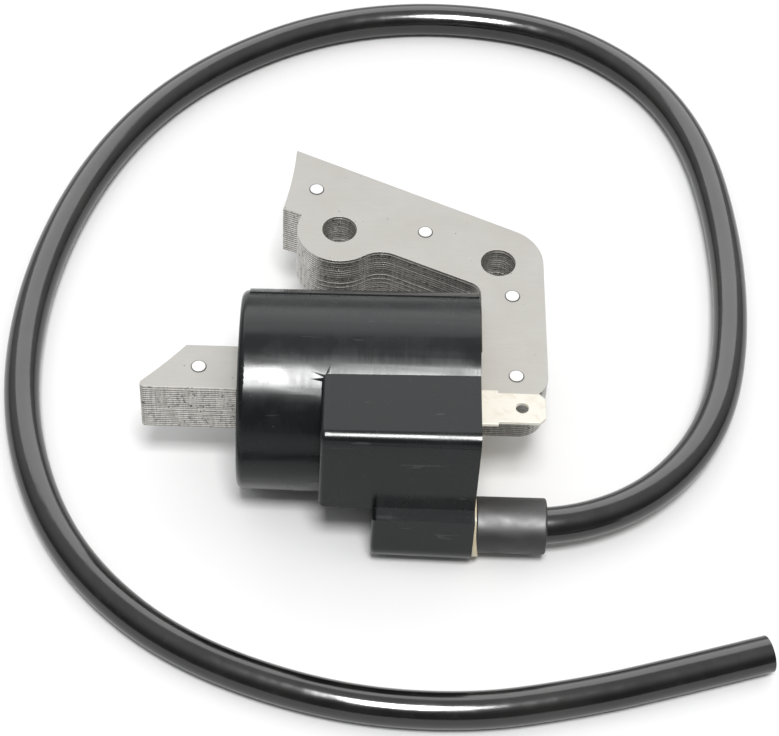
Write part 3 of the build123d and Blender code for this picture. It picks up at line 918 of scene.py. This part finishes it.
@dataclass
class HighTensionLead:
    """The lead, the strands at its cut end, and the sleeve that holds it in the boss."""

    diameter: float = 7.0 * MM
    length: float = 0.565
    strand_radius: float = 0.19 * MM
    strand_length: float = 3.0 * MM
    strand_sunk: float = 1.4 * MM
    strand_spacing: float = 2.05
    strand_round: float = 0.05 * MM
    sleeve_length: float = 13.4 * MM
    sleeve_round: float = 0.45 * MM
    sleeve_face: float = 0.9 * MM
    sleeve_step: float = 0.55 * MM
    exit: tuple[float, float, float] = (38.8 * MM, -35.6 * MM, 6.5 * MM)
    route: Sequence[tuple[float, float, float]] = (
        (10.0, -35.6, 6.5),
        (25.5, -35.66, 6.5),
        (43.5, -35.6, 6.5),
        (59.9, -27.7, 6.1),
        (72.3, -11.7, 5.2),
        (78.4, 10.0, 4.2),
        (79.9, 39.3, 3.6),
        (76.0, 69.1, 3.5),
        (65.5, 89.5, 3.5),
        (46.2, 103.6, 3.5),
        (19.0, 107.9, 3.5),
        (-7.2, 103.1, 3.5),
        (-30.0, 89.4, 3.5),
        (-46.4, 71.5, 3.5),
        (-57.8, 47.9, 3.5),
        (-64.2, 20.2, 3.5),
        (-64.2, -7.4, 3.5),
        (-57.5, -31.6, 3.5),
        (-46.0, -49.7, 3.5),
        (-28.1, -64.2, 3.5),
        (-2.0, -73.6, 3.5),
        (23.3, -75.3, 3.5),
        (45.2, -71.1, 3.5),
        (63.0, -65.9, 3.5),
        (79.6, -60.7, 3.5),
    )

    def build(self) -> None:
        """Makes the lead, its strands and its sleeve."""
        skin = self.skin()
        strands = self.strands()
        self.sleeve()

    def route_point(self, number: int) -> Vector:
        """Returns one point of the route in metres."""
        return Vector(self.route[number]) * MM

    def skin(self) -> bpy.types.Object:
        """Draws the lead as one smooth curve along its route.

        Returns:
            The curve, as thick as the lead.
        """
        curve = bpy.data.curves.new("high_tension_lead", "CURVE")
        curve.dimensions = "3D"
        spline = curve.splines.new("NURBS")
        spline.points.add(len(self.route) - 1)
        for number, point in enumerate(spline.points):
            point.co = (*self.route_point(number), 1.0)
        spline.order_u = 3
        spline.use_endpoint_u = True
        curve.resolution_u = 16
        curve.render_resolution_u = 16
        curve.bevel_depth = self.diameter / 2
        curve.bevel_resolution = 10
        curve.use_fill_caps = True
        lead = bpy.data.objects.new("high_tension_lead", curve)
        bpy.context.scene.collection.objects.link(lead)
        curve.materials.append(BlackRubber(RubberGrade.LEAD).make())
        return hand_over(lead, "lead_rubber", "lead_insulation")

    def strands(self) -> bpy.types.Object:
        """Models the cut strands that show in the lead's end face.

        Returns:
            The bundle: one strand in the middle, six round it and twelve outside.
        """
        tip = self.route_point(-1)
        inward = (self.route_point(-2) - tip).normalized()
        turn = inward.to_track_quat("Z", "Y").to_euler()
        deselect_all()
        bpy.ops.mesh.primitive_cylinder_add(
            vertices=14,
            radius=self.strand_radius,
            depth=self.strand_length,
            location=tip + self.strand_sunk * inward,
            rotation=turn,
        )
        first = bpy.context.object
        settle(first)
        soften_edges(first, self.strand_round)
        across = inward.cross(Vector((0.0, 0.0, 1.0))).normalized()
        up = across.cross(inward)
        bundle = [first]
        for ring in (1, 2):
            for step in range(6 * ring):
                angle = math.tau * step / (6 * ring)
                out = ring * self.strand_spacing * self.strand_radius
                shift = (math.cos(angle) * across + math.sin(angle) * up) * out
                bundle.append(copied(first, f"strand_{ring}_{step}", shift))
        strands = joined(bundle, "lead_strands")
        strands.data.materials.append(SmallMetal(MetalGrade.COPPER).make())
        smooth(strands, 40)
        return hand_over(strands, "conductor_strand", "lead_conductor")

    def sleeve(self) -> None:
        """Models the rubber sleeve, with rounded ends and a lip round the lead."""
        low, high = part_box("lead_sleeve")
        collar = self.exit[0] - self.sleeve_length
        radius = (high.z - low.z) / 2
        deselect_all()
        bpy.ops.mesh.primitive_cylinder_add(
            vertices=72,
            radius=radius,
            depth=self.exit[0] - collar,
            location=((self.exit[0] + collar) / 2, self.exit[1], self.exit[2]),
            rotation=(0.0, math.pi / 2, 0.0),
        )
        sleeve = bpy.context.object
        sleeve.name = "boss_sleeve"
        settle(sleeve)
        with editing(sleeve) as mesh:
            select(sleeve, mesh, lambda face: abs(face.normal.x) > 0.9)
            bpy.ops.mesh.inset(thickness=self.sleeve_face)
            bpy.ops.mesh.inset(thickness=self.sleeve_step, depth=-0.25 * MM)
            bpy.ops.mesh.inset(thickness=self.sleeve_step, depth=-0.9 * MM)
        soften_edges(sleeve, self.sleeve_round, 40, 4)
        sleeve.data.materials.append(BlackRubber(RubberGrade.SLEEVE).make())
        smooth(sleeve, 50)
        hand_over(sleeve, "sleeve_rubber", "lead_sleeve")


# Studio ----------------------------------------------------------------------------------


@dataclass(frozen=True)
class Lamp:
    """A rectangular lamp that points at the coil, by place and size in metres, and watts."""

    name: str
    place: tuple[float, float, float]
    size: tuple[float, float]
    power: float


@dataclass
class Studio:
    """White table, soft light from high in front, and the camera."""

    focal_length: float = 110.91
    sensor: float = 36.0
    elevation: float = math.radians(51.0)
    yaw: float = math.radians(2.2)
    roll: float = math.radians(3.5)
    station: Vector = field(default_factory=lambda: Vector((-2.62, -298.7, 377.9)) * MM)
    bright_side: tuple[float, float, float] = (0.0, 0.5, 0.866)
    fully_bright: float = 0.85
    dim: float = 0.13
    bright: float = 0.92
    key: Lamp = Lamp("key_light", (0.04, -0.52, 1.28), (0.34, 0.30), 12.5)
    cards: Sequence[Lamp] = (
        Lamp("front_card", (-0.03, -0.53, 1.25), (0.24, 0.56), 42.0),
        Lamp("back_card", (0.0, 1.0, 0.84), (1.8, 1.0), 13.0),
    )
    black_pieces: bpy.types.Collection = field(
        default_factory=lambda: bpy.data.collections.new("Black pieces")
    )

    def build(self) -> None:
        """Sets up the camera, the table and the lights."""
        self.camera()
        self.table()
        self.daylight()
        self.hang(self.key)
        for lamp in self.cards:
            self.gloss_card(lamp)

    def gloss_card(self, lamp: Lamp) -> None:
        """Hangs a card that only shows as a sheen on the black pieces."""
        card = self.hang(lamp)
        card.visible_diffuse = False
        card.light_linking.receiver_collection = self.black_pieces

    def shine_on(self, *names: str) -> None:
        """Lets the gloss cards show on the pieces of the given names."""
        for name in names:
            self.black_pieces.objects.link(bpy.data.objects[name])

    def camera(self) -> None:
        """Places the camera, looking down over the coil's front."""
        back = Vector((math.sin(self.yaw), math.cos(self.yaw), 0.0))
        up = Vector((0.0, 0.0, 1.0))
        forward = back * math.cos(self.elevation) - up * math.sin(self.elevation)
        level_up = back * math.sin(self.elevation) + up * math.cos(self.elevation)
        level_right = forward.cross(level_up)
        right = level_right * math.cos(self.roll) + level_up * math.sin(self.roll)
        upward = level_up * math.cos(self.roll) - level_right * math.sin(self.roll)
        turn = Matrix((right, upward, -forward)).transposed().to_4x4()
        data = bpy.data.cameras.new("Camera")
        data.lens = self.focal_length
        data.sensor_width = self.sensor
        data.clip_start = 0.01
        camera = bpy.data.objects.new("Camera", data)
        camera.matrix_world = Matrix.Translation(self.station) @ turn
        bpy.context.scene.collection.objects.link(camera)
        bpy.context.scene.camera = camera

    def table(self) -> None:
        """Lays the white table."""
        deselect_all()
        bpy.ops.mesh.primitive_plane_add(size=6.0)
        table = bpy.context.object
        table.name = "table"
        paper = Shader("White table", Roughness=0.9, Specular_IOR_Level=0.0)
        tone = paper.noise(40 * MM, 2.0)
        paper.colour(paper.mix(tone, (0.86, 0.86, 0.86, 1.0), (0.88, 0.88, 0.88, 1.0)))
        table.data.materials.append(paper.material)

    def daylight(self) -> None:
        """Sets the surround: bright over the back of the table, dim low in front."""
        world = bpy.data.worlds.new("Studio surround")
        world.use_nodes = True
        nodes, links = world.node_tree.nodes, world.node_tree.links
        direction = nodes.new("ShaderNodeTexCoord").outputs["Generated"]
        facing = nodes.new("ShaderNodeVectorMath")
        facing.operation = "DOT_PRODUCT"
        facing.inputs[1].default_value = self.bright_side
        strength = nodes.new("ShaderNodeMapRange")
        strength.interpolation_type = "SMOOTHSTEP"
        strength.inputs["From Min"].default_value = 0.0
        strength.inputs["From Max"].default_value = self.fully_bright
        strength.inputs["To Min"].default_value = self.dim
        strength.inputs["To Max"].default_value = self.bright
        links.new(direction, facing.inputs[0])
        links.new(facing.outputs["Value"], strength.inputs["Value"])
        links.new(strength.outputs["Result"], nodes["Background"].inputs["Strength"])
        nodes["Background"].inputs["Color"].default_value = (1.0, 1.0, 1.0, 1.0)
        bpy.context.scene.world = world
        bpy.context.scene.view_settings.view_transform = "Standard"

    def hang(self, lamp: Lamp) -> bpy.types.Object:
        """Hangs a lamp.

        Args:
            lamp: The lamp's name, place, size and power.

        Returns:
            The light.
        """
        data = bpy.data.lights.new(lamp.name, "AREA")
        data.shape = "RECTANGLE"
        data.size, data.size_y = lamp.size
        data.energy = lamp.power
        light = bpy.data.objects.new(lamp.name, data)
        light.location = lamp.place
        light.rotation_euler = (-Vector(lamp.place)).to_track_quat("-Z", "Y").to_euler()
        bpy.context.scene.collection.objects.link(light)
        return light


def main() -> None:
    """Builds the studio and every sub-assembly in order."""
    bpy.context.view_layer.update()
    studio = Studio()
    studio.build()
    for assembly in (HighTensionLead(), CoreStack(), CoilCase(), Terminal()):
        assembly.build()
        LOG.info("%s is built", type(assembly).__name__)
    studio.shine_on("case_shell", "high_tension_lead", "boss_sleeve")


if __name__ == "__main__":
    logging.basicConfig(level=logging.INFO, format="%(message)s")
    main()
